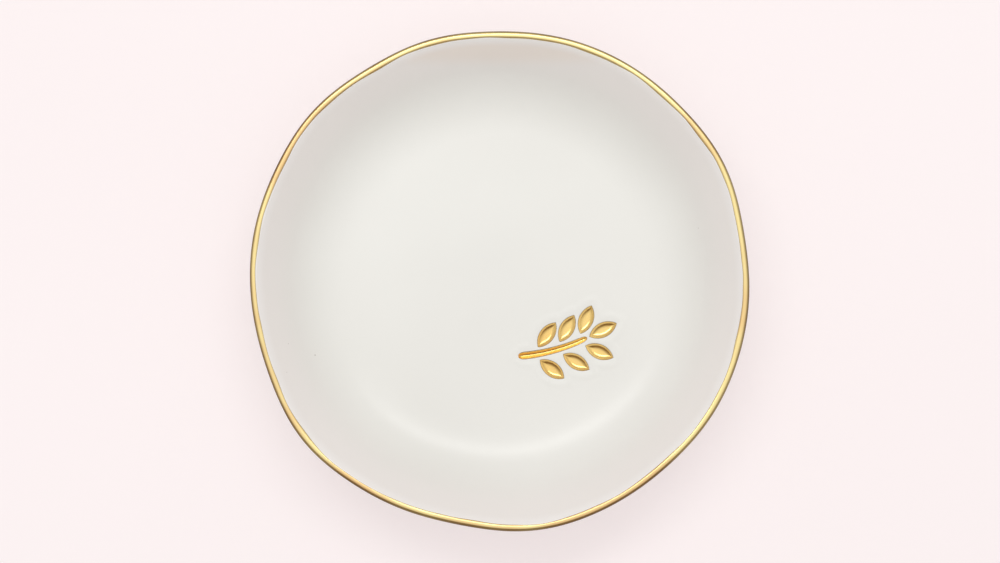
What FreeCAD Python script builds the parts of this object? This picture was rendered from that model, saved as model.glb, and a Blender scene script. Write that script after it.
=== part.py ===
"""Ring dish: a small round ceramic dish with a wavy gilded lip and a pressed, gilded sprig.

Millimetres and degrees, +Z up. The origin lies on the table, at the middle of the foot ring.
The clay is formed first, a glaze of even thickness covers it down to a line on the foot, and
gold is laid over the lip and into the pressed sprig.
"""
import FreeCAD
import Part
import Sketcher
import math
import os

# Driving sizes, in millimetres, degrees and counts.
SIZES = {
    "rim_radius": 50.0,  # mean radius of the outline seen from above
    "rim_height": 18.0,  # table to the top of the lip
    "wall_lean": 55.0,  # between the outer wall and the table
    "inner_lean": 51.5,  # of the inner wall; it leans more, so the wall thins towards the lip
    "lip_width": 1.75,  # level, across the lip, before its edges are rounded
    "lip_outer_round": 0.6,
    "lip_inner_round": 0.9,
    "floor_height": 4.2,  # table to the floor inside
    "floor_bend": 16.0,  # radius between the floor and the wall, inside
    "under_height": 1.2,  # table to the glazed underside
    "under_bend": 18.0,  # radius between the underside and the wall, outside
    "foot_inset": 1.0,  # from the edge of the flat underside in to the foot ring
    "foot_width": 3.0,
    "foot_round": 0.5,
    "wave_four": 0.23,  # the lip is formed by hand: heights and turns of its waves
    "turn_four": 164.0,
    "wave_five": 0.13,
    "turn_five": 354.0,
    "wave_six": 0.19,
    "turn_six": 242.0,
    "wave_seven": 0.15,
    "turn_seven": 159.0,
    "glaze_thick": 0.3,
    "glaze_line": 0.6,  # table to the lower edge of the glaze on the foot
    "gold_thick": 0.12,
    "gold_width": 1.15,  # from the outline in to the inner edge of the gold
    "gold_round": 0.2,  # of that inner edge
    "sprig_inset": 12.2,  # from the edge of the flat floor in to the middle of the stem
    "sprig_way": -52.5,  # way out from the axis to the middle of the stem
    "sprig_tilt": 15.0,  # way along the stem at its middle
    "stem_bow": 38.0,  # radius of the curved stem
    "stem_length": 14.6,
    "stem_width": 1.6,
    "stem_bare": 3.0,  # stem below the first pair of leaves
    "leaf_length": 6.2,
    "leaf_width": 3.0,
    "leaf_depth": 0.8,
    "leaf_draft": 35.0,  # between a leaf's pressed sides and the upright
    "leaf_lean": 46.0,  # between a leaf and the stem
    "leaf_gap": 0.5,  # between a leaf and the stem
    "leaf_step": 4.7,  # from one pair to the next, along the stem
    "leaf_pairs": 3,
}

WAVES = {"four": 4, "five": 5, "six": 6, "seven": 7}
POLES = 28
LEVEL = 1e-6

# Sizes that follow from the driving ones, as expressions.
LEAN = "(Sizes.wall_lean * 1 deg)"
HALF_LEAN = "(Sizes.wall_lean * 0.5 deg)"
INNER_LEAN = "(Sizes.inner_lean * 1 deg)"
HALF_INNER = "(Sizes.inner_lean * 0.5 deg)"
LIP_EDGE = f"(Sizes.rim_radius + Sizes.lip_outer_round * (1 / tan({HALF_LEAN}) - 1))"
MOUTH_EDGE = f"({LIP_EDGE} - Sizes.lip_width)"
FLOOR_EDGE = f"({MOUTH_EDGE} - (Sizes.rim_height - Sizes.floor_height) / tan({INNER_LEAN}))"
UNDER_EDGE = f"({LIP_EDGE} - (Sizes.rim_height - Sizes.under_height) / tan({LEAN}))"
FLAT_FLOOR = f"({FLOOR_EDGE} - Sizes.floor_bend * tan({HALF_INNER}))"
FLAT_UNDER = f"({UNDER_EDGE} - Sizes.under_bend * tan({HALF_LEAN}))"
FOOT_EDGE = f"({FLAT_UNDER} - Sizes.foot_inset)"

SPRIG_OUT = f"({FLAT_FLOOR} - Sizes.sprig_inset)"
STEM_X = f"({SPRIG_OUT} * cos(Sizes.sprig_way * 1 deg) - Sizes.stem_bow * sin(Sizes.sprig_tilt * 1 deg))"
STEM_Y = f"({SPRIG_OUT} * sin(Sizes.sprig_way * 1 deg) + Sizes.stem_bow * cos(Sizes.sprig_tilt * 1 deg))"
FIRST_PAIR = "(Sizes.stem_bare - Sizes.stem_length / 2)"
STEM_TIP = "(Sizes.stem_length / 2)"
LEAF_START = "((Sizes.stem_width / 2 + Sizes.leaf_gap) / sin(Sizes.leaf_lean * 1 deg))"
LEAF_ARC = "((Sizes.leaf_length ^ 2 + Sizes.leaf_width ^ 2) / (4 * Sizes.leaf_width))"

# The first pair of leaves and the one at the tip: place along the stem, lean and start.
LEAF_PLACES = {
    "LeftLeaf": (FIRST_PAIR, "Sizes.leaf_lean * 1 deg", LEAF_START),
    "RightLeaf": (FIRST_PAIR, "Sizes.leaf_lean * -1 deg", LEAF_START),
    "TipLeaf": (STEM_TIP, "0 deg", "Sizes.leaf_gap"),
}

doc = FreeCAD.newDocument("RingDish")
sheet = doc.addObject("Spreadsheet::Sheet", "Sizes")
for row, (name, value) in enumerate(SIZES.items(), 1):
    sheet.set(f"A{row}", name)
    sheet.set(f"B{row}", str(value))
    sheet.setAlias(f"B{row}", name)
doc.recompute()


def new_body(label):
    """An empty body that may hold several separate solids."""
    body = doc.addObject("PartDesign::Body", label)
    body.Label = label
    body.AllowCompound = True
    return body


def new_sketch(body, name, role, base, turn_axis=(0, 0, 1), turn=None):
    """A sketch on one of the body's origin planes, shifted and turned by expressions."""
    plane = next(feature for feature in body.Origin.OriginFeatures if feature.Role == role)
    sketch = body.newObject("Sketcher::SketchObject", name)
    sketch.AttachmentSupport = [(plane, "")]
    sketch.MapMode = "FlatFace"
    sketch.AttachmentOffset = FreeCAD.Placement(
        FreeCAD.Vector(), FreeCAD.Rotation(FreeCAD.Vector(*turn_axis), 1 if turn else 0))
    for axis, expression in zip("xyz", base):
        if expression:
            sketch.setExpression(f"AttachmentOffset.Base.{axis}", expression)
    if turn:
        sketch.setExpression("AttachmentOffset.Rotation.Angle", turn)
    return sketch


def hold(sketch, kind, *where, size):
    """Adds a dimension to a sketch, as it is drawn, and binds it to an expression."""
    if kind == "Radius":
        drawn = sketch.Geometry[where[0]].Radius
    else:
        across = sketch.getPoint(*where[2:]) - sketch.getPoint(*where[:2])
        drawn = across.x if kind == "DistanceX" else across.y
    index = sketch.addConstraint(Sketcher.Constraint(kind, *where, drawn))
    sketch.setExpression(f"Constraints[{index}]", size)


def round_outline(sketch, radius):
    """A circle about the sketch's origin."""
    circle = sketch.addGeometry(Part.Circle(FreeCAD.Vector(), FreeCAD.Vector(0, 0, 1), 10), False)
    sketch.addConstraint(Sketcher.Constraint("Coincident", circle, 3, -1, 1))
    hold(sketch, "Radius", circle, size=radius)


def wavy_outline(sketch, radius, seam=0.0):
    """A smooth closed curve about the origin: a circle with the lip's waves laid over it.

    The curve starts and ends at the seam, an angle from the X axis.
    """
    step = 360 / POLES

    def reach(count):
        """How far past the curve its poles lie, for a wave with this many turns round."""
        return 3 / (2 + math.cos(math.radians(count * step)))

    angles = [seam + step * (pole - 1) for pole in range(POLES)]
    turned = [(math.cos(math.radians(angle)), math.sin(math.radians(angle))) for angle in angles]
    start = [FreeCAD.Vector(x, y) * SIZES["rim_radius"] for x, y in turned]
    curve = Part.BSplineCurve()
    curve.buildFromPolesMultsKnots(start, [1] * (POLES + 1), list(range(POLES + 1)), True, 3)
    spline = sketch.addGeometry(curve, False)
    sketch.exposeInternalGeometry(spline)
    places = []
    sizes = []
    for mark, (angle, pole) in enumerate(zip(angles, start), spline + 1):
        out = f"{reach(1)} * {radius}"
        for word, count in WAVES.items():
            out += f" + {reach(count)} * Sizes.wave_{word} * cos({count * angle} deg - Sizes.turn_{word} * 1 deg)"
        places.append(Sketcher.Constraint("DistanceX", -1, 1, mark, 3, pole.x))
        places.append(Sketcher.Constraint("DistanceY", -1, 1, mark, 3, pole.y))
        sizes += [f"({out}) * cos({angle} deg)", f"({out}) * sin({angle} deg)"]
    for index, size in zip(sketch.addConstraint(places), sizes):
        sketch.setExpression(f"Constraints[{index}]", size)


def level_edges(shape):
    """The shape's closed level edges, lowest first and then shortest first, by name."""
    found = []
    for number, edge in enumerate(shape.Edges, 1):
        box = edge.BoundBox
        if box.ZLength < LEVEL and edge.isClosed():
            found.append((round(box.ZMin, 4), edge.Length, f"Edge{number}"))
    return [name for _, _, name in sorted(found)]


def round_edge(body, name, edges, radius):
    """Rounds edges of the body's last feature."""
    base = body.Tip
    fillet = body.newObject("PartDesign::Fillet", name)
    fillet.Base = (base, edges)
    fillet.setExpression("Radius", radius)
    doc.recompute()
    return fillet


def add_block(body, inset):
    """The dish's outside without its foot, this far inside the glazed skin and not yet hollow."""
    under = new_sketch(body, "UnderOutline", "XY_Plane", ("", "", f"Sizes.under_height + {inset}"))
    round_outline(under, f"{UNDER_EDGE} - {inset} * tan({HALF_LEAN})")
    lip = new_sketch(body, "LipOutline", "XY_Plane", ("", "", f"Sizes.rim_height - {inset}"))
    wavy_outline(lip, f"({LIP_EDGE} - {inset} / tan({HALF_LEAN}))")
    block = body.newObject("PartDesign::AdditiveLoft", "Block")
    block.Profile = under
    block.Sections = [lip]
    doc.recompute()


def add_hollow(body, inset):
    """The dish's inside and its rounded edges, this far behind the glazed skin."""
    floor = new_sketch(body, "FloorOutline", "XY_Plane", ("", "", f"Sizes.floor_height - {inset}"))
    round_outline(floor, f"{FLOOR_EDGE} + {inset} * tan({HALF_INNER})")
    mouth = new_sketch(body, "MouthOutline", "XY_Plane", ("", "", f"Sizes.rim_height - {inset}"))
    wavy_outline(mouth, f"({MOUTH_EDGE} + {inset} * tan({HALF_INNER}))")
    hollow = body.newObject("PartDesign::SubtractiveLoft", "Hollow")
    hollow.Profile = floor
    hollow.Sections = [mouth]
    doc.recompute()

    edges = level_edges(hollow.Shape)
    round_edge(body, "FloorBend", [edges[1]], f"Sizes.floor_bend + {inset}")
    round_edge(body, "UnderBend", [level_edges(body.Tip.Shape)[0]], f"Sizes.under_bend - {inset}")
    round_edge(body, "LipOuterRound", [level_edges(body.Tip.Shape)[-1]], f"Sizes.lip_outer_round - {inset}")
    round_edge(body, "LipInnerRound", [level_edges(body.Tip.Shape)[-2]], f"Sizes.lip_inner_round - {inset}")


def add_foot(body, bottom, grow):
    """The ring under the floor, grown on both sides, down to a given height."""
    sketch = new_sketch(body, "FootSection", "XZ_Plane", ("", "", ""))
    corners = [FreeCAD.Vector(20, 1), FreeCAD.Vector(30, 1), FreeCAD.Vector(30, 2), FreeCAD.Vector(20, 2)]
    sides = [sketch.addGeometry(Part.LineSegment(corners[i], corners[(i + 1) % 4]), False) for i in range(4)]
    for i, side in enumerate(sides):
        sketch.addConstraint(Sketcher.Constraint("Coincident", side, 2, sides[(i + 1) % 4], 1))
        sketch.addConstraint(Sketcher.Constraint("Vertical" if i % 2 else "Horizontal", side))
    hold(sketch, "DistanceX", -1, 1, sides[0], 1, size=f"{FOOT_EDGE} - Sizes.foot_width - {grow}")
    hold(sketch, "DistanceX", -1, 1, sides[0], 2, size=f"{FOOT_EDGE} + {grow}")
    hold(sketch, "DistanceY", -1, 1, sides[0], 1, size=bottom)
    hold(sketch, "DistanceY", -1, 1, sides[2], 1, size="(Sizes.under_height + Sizes.floor_height) / 2")
    foot = body.newObject("PartDesign::Revolution", "Foot")
    foot.Profile = sketch
    foot.ReferenceAxis = (sketch, ["V_Axis"])
    foot.Angle = 360
    doc.recompute()


def leaf_sketch(body, name, along, lean, start):
    """A sketch whose X axis runs out along a leaf, from a place along the stem."""
    about = f"((Sizes.sprig_tilt - 90) * 1 deg + {along} / Sizes.stem_bow * 1 rad)"
    x = f"{STEM_X} + Sizes.stem_bow * cos({about}) + {start} * cos({about} + 90 deg + {lean})"
    y = f"{STEM_Y} + Sizes.stem_bow * sin({about}) + {start} * sin({about} + 90 deg + {lean})"
    return new_sketch(body, name, "XY_Plane", (x, y, "Sizes.floor_height"), turn=f"{about} + 90 deg + {lean}")


def leaf_outline(sketch, grow):
    """A leaf pointed at both ends, along the sketch's X axis from its origin, grown all round."""
    near = FreeCAD.Vector()
    far = FreeCAD.Vector(SIZES["leaf_length"], 0)
    across = FreeCAD.Vector(0, SIZES["leaf_width"] / 2)
    left = sketch.addGeometry(Part.Arc(far, far / 2 + across, near), False)
    right = sketch.addGeometry(Part.Arc(near, far / 2 - across, far), False)
    for end in (1, 2):
        sketch.addConstraint(Sketcher.Constraint("PointOnObject", left, end, -1))
        sketch.addConstraint(Sketcher.Constraint("Coincident", left, end, right, 3 - end))
    sketch.addConstraint(Sketcher.Constraint("Equal", left, right))
    hold(sketch, "DistanceX", -1, 1, left, 3, size="Sizes.leaf_length / 2")
    hold(sketch, "DistanceY", left, 3, -1, 1, size=f"{LEAF_ARC} - Sizes.leaf_width / 2")
    hold(sketch, "Radius", left, size=f"{LEAF_ARC} + {grow} / cos(Sizes.leaf_draft * 1 deg)")


def leaf_feature(kind, body, name, place, grow):
    """A leaf that tapers down from the floor, as a pad or a pocket."""
    sketch = leaf_sketch(body, f"{name}Outline", *place)
    leaf_outline(sketch, grow)
    leaf = body.newObject(kind, name)
    leaf.Profile = sketch
    leaf.Reversed = kind == "PartDesign::Pad"
    leaf.setExpression("Length", f"Sizes.leaf_depth + {grow}")
    leaf.setExpression("TaperAngle", "-1 deg * Sizes.leaf_draft")
    doc.recompute()
    return leaf


def join_ends(sketch, one, one_end, other, other_end):
    """A straight line between the ends of two curves."""
    line = sketch.addGeometry(
        Part.LineSegment(sketch.getPoint(one, one_end), sketch.getPoint(other, other_end)), False)
    sketch.addConstraint(Sketcher.Constraint("Coincident", line, 1, one, one_end))
    sketch.addConstraint(Sketcher.Constraint("Coincident", line, 2, other, other_end))


def stem_sketch(body):
    """An upright sketch across the stem at its middle; its Y axis is what the stem bows about."""
    base = (STEM_X, "Sizes.floor_height", f"-1 * {STEM_Y}")
    turn = "(Sizes.sprig_tilt - 90) * 1 deg"
    return new_sketch(body, "StemSection", "XZ_Plane", base, turn_axis=(0, 1, 0), turn=turn)


def spread_leaves(body, pair, axis_sketch):
    """Repeats a pair of leaves along the stem, by turning it about the stem's bow."""
    pattern = body.newObject("PartDesign::PolarPattern", "LeafPairs")
    pattern.Originals = pair
    pattern.Axis = (axis_sketch, ["V_Axis"])
    pattern.setExpression("Occurrences", "Sizes.leaf_pairs")
    pattern.setExpression("Angle", "(Sizes.leaf_pairs - 1) * Sizes.leaf_step / Sizes.stem_bow * 1 rad")
    body.Tip = pattern
    doc.recompute()


def press_sprig(body, grow):
    """Presses the sprig into the floor, grown by an expression: a round stem and tapered leaves."""
    section = stem_sketch(body)
    seed = Part.Circle(FreeCAD.Vector(SIZES["stem_bow"], 0), FreeCAD.Vector(0, 0, 1), SIZES["stem_width"] / 2)
    circle = section.addGeometry(seed, False)
    section.addConstraint(Sketcher.Constraint("PointOnObject", circle, 3, -1))
    hold(section, "DistanceX", -1, 1, circle, 3, size="Sizes.stem_bow")
    hold(section, "Radius", circle, size=f"Sizes.stem_width / 2 + {grow}")
    stem = body.newObject("PartDesign::Groove", "Stem")
    stem.Profile = section
    stem.ReferenceAxis = (section, ["V_Axis"])
    stem.Midplane = True
    stem.setExpression("Angle", f"(Sizes.stem_length + 2 * {grow}) / Sizes.stem_bow * 1 rad")
    doc.recompute()

    leaves = {name: leaf_feature("PartDesign::Pocket", body, name, place, grow)
              for name, place in LEAF_PLACES.items()}
    spread_leaves(body, [leaves["LeftLeaf"], leaves["RightLeaf"]], section)


def line_sprig(body):
    """Lines the pressed sprig with gold, flush with the floor."""
    section = stem_sketch(body)
    arcs = []
    for radius in ("Sizes.stem_width / 2", "Sizes.stem_width / 2 - Sizes.gold_thick"):
        seed = Part.Circle(FreeCAD.Vector(SIZES["stem_bow"], 0), FreeCAD.Vector(0, 0, 1), SIZES["stem_width"] / 2)
        arc = section.addGeometry(Part.ArcOfCircle(seed, math.pi, 2 * math.pi), False)
        for end in (1, 2, 3):
            section.addConstraint(Sketcher.Constraint("PointOnObject", arc, end, -1))
        hold(section, "DistanceX", -1, 1, arc, 3, size="Sizes.stem_bow")
        hold(section, "Radius", arc, size=radius)
        arcs.append(arc)
    doc.recompute()
    join_ends(section, arcs[0], 1, arcs[1], 1)
    join_ends(section, arcs[0], 2, arcs[1], 2)
    stem = body.newObject("PartDesign::Revolution", "Stem")
    stem.Profile = section
    stem.ReferenceAxis = (section, ["V_Axis"])
    stem.Midplane = True
    stem.setExpression("Angle", "Sizes.stem_length / Sizes.stem_bow * 1 rad")
    doc.recompute()

    lined = []
    for name, place in LEAF_PLACES.items():
        lined.append(leaf_feature("PartDesign::Pad", body, name, place, "0"))
        lined.append(leaf_feature("PartDesign::Pocket", body, f"{name}Hollow", place, "-1 * Sizes.gold_thick"))
    spread_leaves(body, lined[:4], section)


def combine(kind, label, base, tool):
    """A boolean of two solids, as a named sub-part."""
    result = doc.addObject(kind, label)
    result.Label = label
    result.Base = base
    result.Tool = tool
    doc.recompute()
    return result


# Fired clay, bare where it stands.
clay_body = new_body("clay_body")
add_block(clay_body, "Sizes.glaze_thick")
add_hollow(clay_body, "Sizes.glaze_thick")
add_foot(clay_body, "0", "0")
round_edge(clay_body, "FootRound", level_edges(clay_body.Tip.Shape)[:2], "Sizes.foot_round")
press_sprig(clay_body, "Sizes.glaze_thick")

# The glaze is what the glazed dish holds beyond the clay.
glazed_form = new_body("glazed_form")
add_block(glazed_form, "0")
add_hollow(glazed_form, "0")
add_foot(glazed_form, "Sizes.glaze_line", "Sizes.glaze_thick")
press_sprig(glazed_form, "0")
glaze_coat = combine("Part::Cut", "glaze_coat", glazed_form, clay_body)

# Gold over the lip, as far in as the brush went.
gilded_form = new_body("gilded_form")
add_block(gilded_form, "-1 * Sizes.gold_thick")
brush_line = new_sketch(gilded_form, "BrushLine", "XY_Plane", ("", "", "Sizes.rim_height + Sizes.gold_thick"))
wavy_outline(brush_line, "(Sizes.rim_radius - Sizes.gold_width)", seam=90.0)
bare_middle = gilded_form.newObject("PartDesign::Pocket", "BareMiddle")
bare_middle.Profile = brush_line
bare_middle.Type = "ThroughAll"
doc.recompute()
round_edge(gilded_form, "LipOuterRound", [level_edges(bare_middle.Shape)[-1]],
           "Sizes.lip_outer_round + Sizes.gold_thick")
round_edge(gilded_form, "BrushRound", [level_edges(gilded_form.Tip.Shape)[-2]], "Sizes.gold_round")
rim_gilding = combine("Part::Cut", "rim_gilding", gilded_form, glazed_form)

# Gold in the pressed sprig.
sprig_gilding = new_body("sprig_gilding")
line_sprig(sprig_gilding)

SUB_PARTS = [clay_body, glaze_coat, rim_gilding, sprig_gilding]
for item in doc.Objects:
    if "Invalid" in item.State or "Error" in item.State:
        raise RuntimeError(f"{item.Label} failed: {item.State}")
for part in SUB_PARTS:
    if part.Shape.isNull() or not part.Shape.isValid() or not part.Shape.Solids:
        raise RuntimeError(f"{part.Label} has no valid solid")

os.makedirs("parts", exist_ok=True)
for part in SUB_PARTS:
    box = part.Shape.BoundBox
    print(f"{part.Label}: {len(part.Shape.Solids)} solids, {part.Shape.Volume:.1f} mm3,"
          f" {box.XLength:.2f} x {box.YLength:.2f} x {box.ZLength:.2f} mm from z {box.ZMin:.2f}")
    part.Shape.exportStep(f"parts/{part.Label}.step")
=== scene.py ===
"""Ring dish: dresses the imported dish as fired, glazed and gilded ware.

Sizes are kept in millimetres and become metres in the meshes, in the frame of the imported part:
+Z up, the origin on the table at the middle of the foot ring.
"""
from __future__ import annotations

import logging
import math
from collections.abc import Callable, Sequence
from dataclasses import dataclass, field
from enum import Enum
from functools import partial

import bmesh
import bpy
import numpy as np
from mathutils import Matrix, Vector
from mathutils.geometry import delaunay_2d_cdt

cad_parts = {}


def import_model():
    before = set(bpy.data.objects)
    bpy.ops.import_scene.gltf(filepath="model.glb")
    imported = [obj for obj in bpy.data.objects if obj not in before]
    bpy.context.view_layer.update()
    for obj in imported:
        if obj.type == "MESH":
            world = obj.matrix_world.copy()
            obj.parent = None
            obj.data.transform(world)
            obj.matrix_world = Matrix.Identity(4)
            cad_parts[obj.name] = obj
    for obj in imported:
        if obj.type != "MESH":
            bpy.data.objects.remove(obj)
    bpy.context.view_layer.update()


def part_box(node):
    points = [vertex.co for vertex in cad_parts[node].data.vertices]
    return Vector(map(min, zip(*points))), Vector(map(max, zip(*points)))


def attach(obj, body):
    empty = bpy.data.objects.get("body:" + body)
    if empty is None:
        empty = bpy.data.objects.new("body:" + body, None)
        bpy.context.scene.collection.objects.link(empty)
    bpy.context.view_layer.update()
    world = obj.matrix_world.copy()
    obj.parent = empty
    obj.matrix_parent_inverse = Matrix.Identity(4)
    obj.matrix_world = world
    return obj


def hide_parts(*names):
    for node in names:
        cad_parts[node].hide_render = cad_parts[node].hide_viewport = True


LOG = logging.getLogger("ring_dish")
BODY = "root"
MM = 0.001
WELD = 2e-6  # metres; points nearer than this are one point
SLIVER = WELD / 4  # metres; shorter edges go
TOUCH = 0.01  # millimetres; nearer than this is touching
FAR = 1e3  # millimetres; further than anything on the dish
FEWEST_STEPS = 4  # on a rounded corner
ROW_STEP = 0.866  # between the rows of a grid of even triangles, in sides of a triangle
NOISE_SPAN = (0.3, 0.7)  # most values of a noise texture lie between these
DRIFT_SPAN = (0.25, 0.75)  # and almost all of a slow one between these

Adder = Callable[..., bpy.types.Node]  # add_node, bound to a tree
Floor = tuple[np.ndarray, list[tuple[int, int, int]]]  # points as (x, y), and triangles


def linear(code: str) -> tuple[float, float, float, float]:
    """Turns a colour from sRGB to linear.

    Args:
        code: the colour as #RRGGBB.

    Returns:
        Linear RGBA.
    """
    parts = [int(code[i:i + 2], 16) / 255 for i in (1, 3, 5)]
    red, green, blue = (c / 12.92 if c <= 0.04045 else ((c + 0.055) / 1.055) ** 2.4 for c in parts)
    return red, green, blue, 1.0


def per_metre(size: float) -> float:
    """The texture scale at which a pattern's features are this many millimetres wide."""
    return 1 / (size * MM)


def add_node(tree: bpy.types.NodeTree, kind: str, inputs: dict | Sequence = (), **settings) -> bpy.types.Node:
    """Adds a node with its settings, and sets or links its inputs.

    Args:
        tree: the node tree that gets the node.
        kind: the node's type name.
        inputs: values by socket name or index, or in the order of the sockets. A value may be the
            socket that feeds the input, or a node, whose first output in use feeds it.
        settings: the node's own properties.

    Returns:
        The new node.
    """
    node = tree.nodes.new(kind)
    for name, value in settings.items():
        setattr(node, name, value)
    given = inputs if isinstance(inputs, dict) else dict(enumerate(inputs))
    for key, value in given.items():
        if isinstance(value, bpy.types.Node):
            value = next(socket for socket in value.outputs if socket.enabled)
        if isinstance(value, bpy.types.NodeSocket):
            tree.links.new(value, node.inputs[key])
        else:
            node.inputs[key].default_value = value
    return node


def new_material(name: str) -> tuple[bpy.types.Material, Adder]:
    """An empty node material.

    Args:
        name: the material's name.

    Returns:
        The material, and add_node for its tree.
    """
    material = bpy.data.materials.new(name)
    material.use_nodes = True
    material.node_tree.nodes.clear()
    return material, partial(add_node, material.node_tree)


class Stroke(Enum):
    """How the gold was laid on."""

    ROUND_THE_LIP = "round_the_lip"
    DABBED = "dabbed"


@dataclass(frozen=True)
class SatinGlaze:
    """Satin white glaze, poured over the fired clay.

    It gives the eye a soft sheen rather than a mirror, a slow ripple, a warmer tone where it runs
    thin on the walls, a paler roll at the lip, and a few pinholes.
    """

    name: str = "satin_white_glaze"
    body_hex: str = "#EFEEE9"
    cloud_hex: str = "#DDDBD5"
    thin_hex: str = "#EAE5E1"
    blush_hex: str = "#E9E0D8"
    roll_hex: str = "#EEEAE7"
    pinhole_hex: str = "#ABA399"
    cloud_size: float = 50.0
    cloud_seed: float = 49.75
    thin_span: tuple[float, float] = (5.0, 15.0)  # heights between which the glaze runs thin
    blush_span: tuple[float, float] = (42.5, 45.5)  # how far back on the wall the clay shows through
    roll_span: tuple[float, float] = (15.8, 17.5)  # heights between which it gathers below the gold
    pinhole_spacing: float = 4.6
    pinhole_radius: float = 0.2
    pinhole_free: float = 0.35  # share of the places without a pinhole
    pinhole_side: float = 0.4  # share of the radius over which a pinhole falls off
    ripple_size: float = 10.0
    ripple_height: float = 0.035
    peel_size: float = 1.5
    peel_height: float = 0.0025
    roughness: tuple[float, float] = (0.28, 0.33)
    ior: float = 1.5

    def material(self) -> bpy.types.Material:
        """Builds the glaze.

        Returns:
            The finished material.
        """
        material, add = new_material(self.name)
        place = add("ShaderNodeTexCoord").outputs["Object"]
        axes = add("ShaderNodeSeparateXYZ", [place])
        cloud = add("ShaderNodeTexNoise", {
            "Vector": place, "W": self.cloud_seed, "Scale": per_metre(self.cloud_size), "Detail": 2.0},
            noise_dimensions="4D")
        tones = [(cloud, self.cloud_hex)]
        for axis, (start, end), code in (("Z", self.thin_span, self.thin_hex),
                                         ("Y", self.blush_span, self.blush_hex),
                                         ("Z", self.roll_span, self.roll_hex)):
            tones.append((add("ShaderNodeMapRange", (axes.outputs[axis], start * MM, end * MM),
                              interpolation_type="SMOOTHSTEP"), code))

        # Where a gas bubble broke: few, small and not all alike.
        cells = add("ShaderNodeTexVoronoi", {"Vector": place, "Scale": per_metre(self.pinhole_spacing)})
        reach = self.pinhole_radius / self.pinhole_spacing
        lot = add("ShaderNodeSeparateColor", [cells.outputs["Color"]])
        radius = add("ShaderNodeMapRange", (lot, self.pinhole_free, 1.0, 0.0, reach))
        inside = add("ShaderNodeMath", (radius, cells.outputs["Distance"]), operation="SUBTRACT")
        hole = add("ShaderNodeMapRange", (inside, 0.0, self.pinhole_side * reach))
        tones.append((hole, self.pinhole_hex))
        colour = linear(self.body_hex)
        for share, code in tones:
            colour = add("ShaderNodeMix", {0: share, 6: colour, 7: linear(code)}, data_type="RGBA")

        # The slow ripple, and on it the fine peel, which also breaks up the sheen.
        shaped = {}
        for size, height, detail in ((self.ripple_size, self.ripple_height, 1.0),
                                     (self.peel_size, self.peel_height, 2.0)):
            noise = add("ShaderNodeTexNoise", {"Vector": place, "Scale": per_metre(size), "Detail": detail})
            shaped = {"Normal": add("ShaderNodeBump", {
                "Height": noise, "Strength": 1.0, "Distance": height * MM, **shaped})}
        gloss = add("ShaderNodeMapRange", (noise, *NOISE_SPAN, *self.roughness))
        shader = add("ShaderNodeBsdfPrincipled", {
            "Base Color": colour, "Roughness": gloss, "IOR": self.ior, **shaped})
        add("ShaderNodeOutputMaterial", {"Surface": shader})
        return material


@dataclass(frozen=True)
class GoldLustre:
    """Liquid gold, brushed on the glaze and fired.

    It gives the eye a bright warm mirror that the brush left a little streaky, and a bronze to
    brown tone where the film runs thin.
    """

    stroke: Stroke
    bright_hex: str = "#FFEAA6"
    deep_hex: str = "#F4CF92"
    thin_hex: str = "#4B3012"
    patch_size: float = 14.0
    patch_seed: float = 60.5
    patch_span: tuple[float, float] = (0.42, 0.62)  # of the noise, from the bright tone to the deep one
    thin_least: float = 0.75  # how far a thin film browns where it browns least
    lip_radius: float = 50.0  # at which the length of the streaks is true
    streak_length: float = 7.0
    streak_width: float = 0.16  # wider than the bristles left it, so that it shows
    dab_size: float = 0.64
    grain_size: float = 0.5
    grain_height: float = 0.002
    roughness: tuple[float, float] = (0.28, 0.36)

    def material(self) -> bpy.types.Material:
        """Builds the gold; the piece's "thin" attribute says where the film runs thin.

        Returns:
            The finished material.
        """
        material, add = new_material(f"fired_gold_lustre_{self.stroke.value}")
        place = add("ShaderNodeTexCoord").outputs["Object"]
        lay, scale = place, per_metre(self.dab_size)
        if self.stroke is Stroke.ROUND_THE_LIP:
            axes = add("ShaderNodeSeparateXYZ", [place])
            turn = add("ShaderNodeMath", (axes.outputs["Y"], axes.outputs["X"]), operation="ARCTAN2")
            run = add("ShaderNodeMath", (turn, self.lip_radius / self.streak_length), operation="MULTIPLY")
            across = add("ShaderNodeAttribute", attribute_name="across").outputs["Fac"]
            lane = add("ShaderNodeMath", (across, 1 / self.streak_width), operation="MULTIPLY")
            lay, scale = add("ShaderNodeCombineXYZ", (run, lane)), 1.0
        streak = add("ShaderNodeTexNoise", {"Vector": lay, "Scale": scale, "Detail": 2.0})
        patch = add("ShaderNodeTexNoise", {
            "Vector": place, "W": self.patch_seed, "Scale": per_metre(self.patch_size), "Detail": 2.0},
            noise_dimensions="4D")
        blend = add("ShaderNodeMapRange", (patch, *self.patch_span))
        thin = add("ShaderNodeAttribute", attribute_name="thin").outputs["Fac"]
        uneven = add("ShaderNodeMapRange", (patch, *NOISE_SPAN, self.thin_least, 1.0))
        broken = add("ShaderNodeMath", (thin, uneven), operation="MULTIPLY")
        colour = linear(self.bright_hex)
        for share, code in ((blend, self.deep_hex), (broken, self.thin_hex)):
            colour = add("ShaderNodeMix", {0: share, 6: colour, 7: linear(code)}, data_type="RGBA")
        grain = add("ShaderNodeTexNoise", {
            "Vector": place, "Scale": per_metre(self.grain_size), "Detail": 2.0})
        bristled = add("ShaderNodeMath", (grain, streak), operation="ADD")
        bump = add("ShaderNodeBump", {
            "Height": bristled, "Strength": 1.0, "Distance": self.grain_height * MM})
        gloss = add("ShaderNodeMapRange", (streak, *NOISE_SPAN, *self.roughness))
        shader = add("ShaderNodeBsdfPrincipled", {
            "Base Color": colour, "Metallic": 1.0, "Roughness": gloss, "Normal": bump})
        add("ShaderNodeOutputMaterial", {"Surface": shader})
        return material


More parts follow.
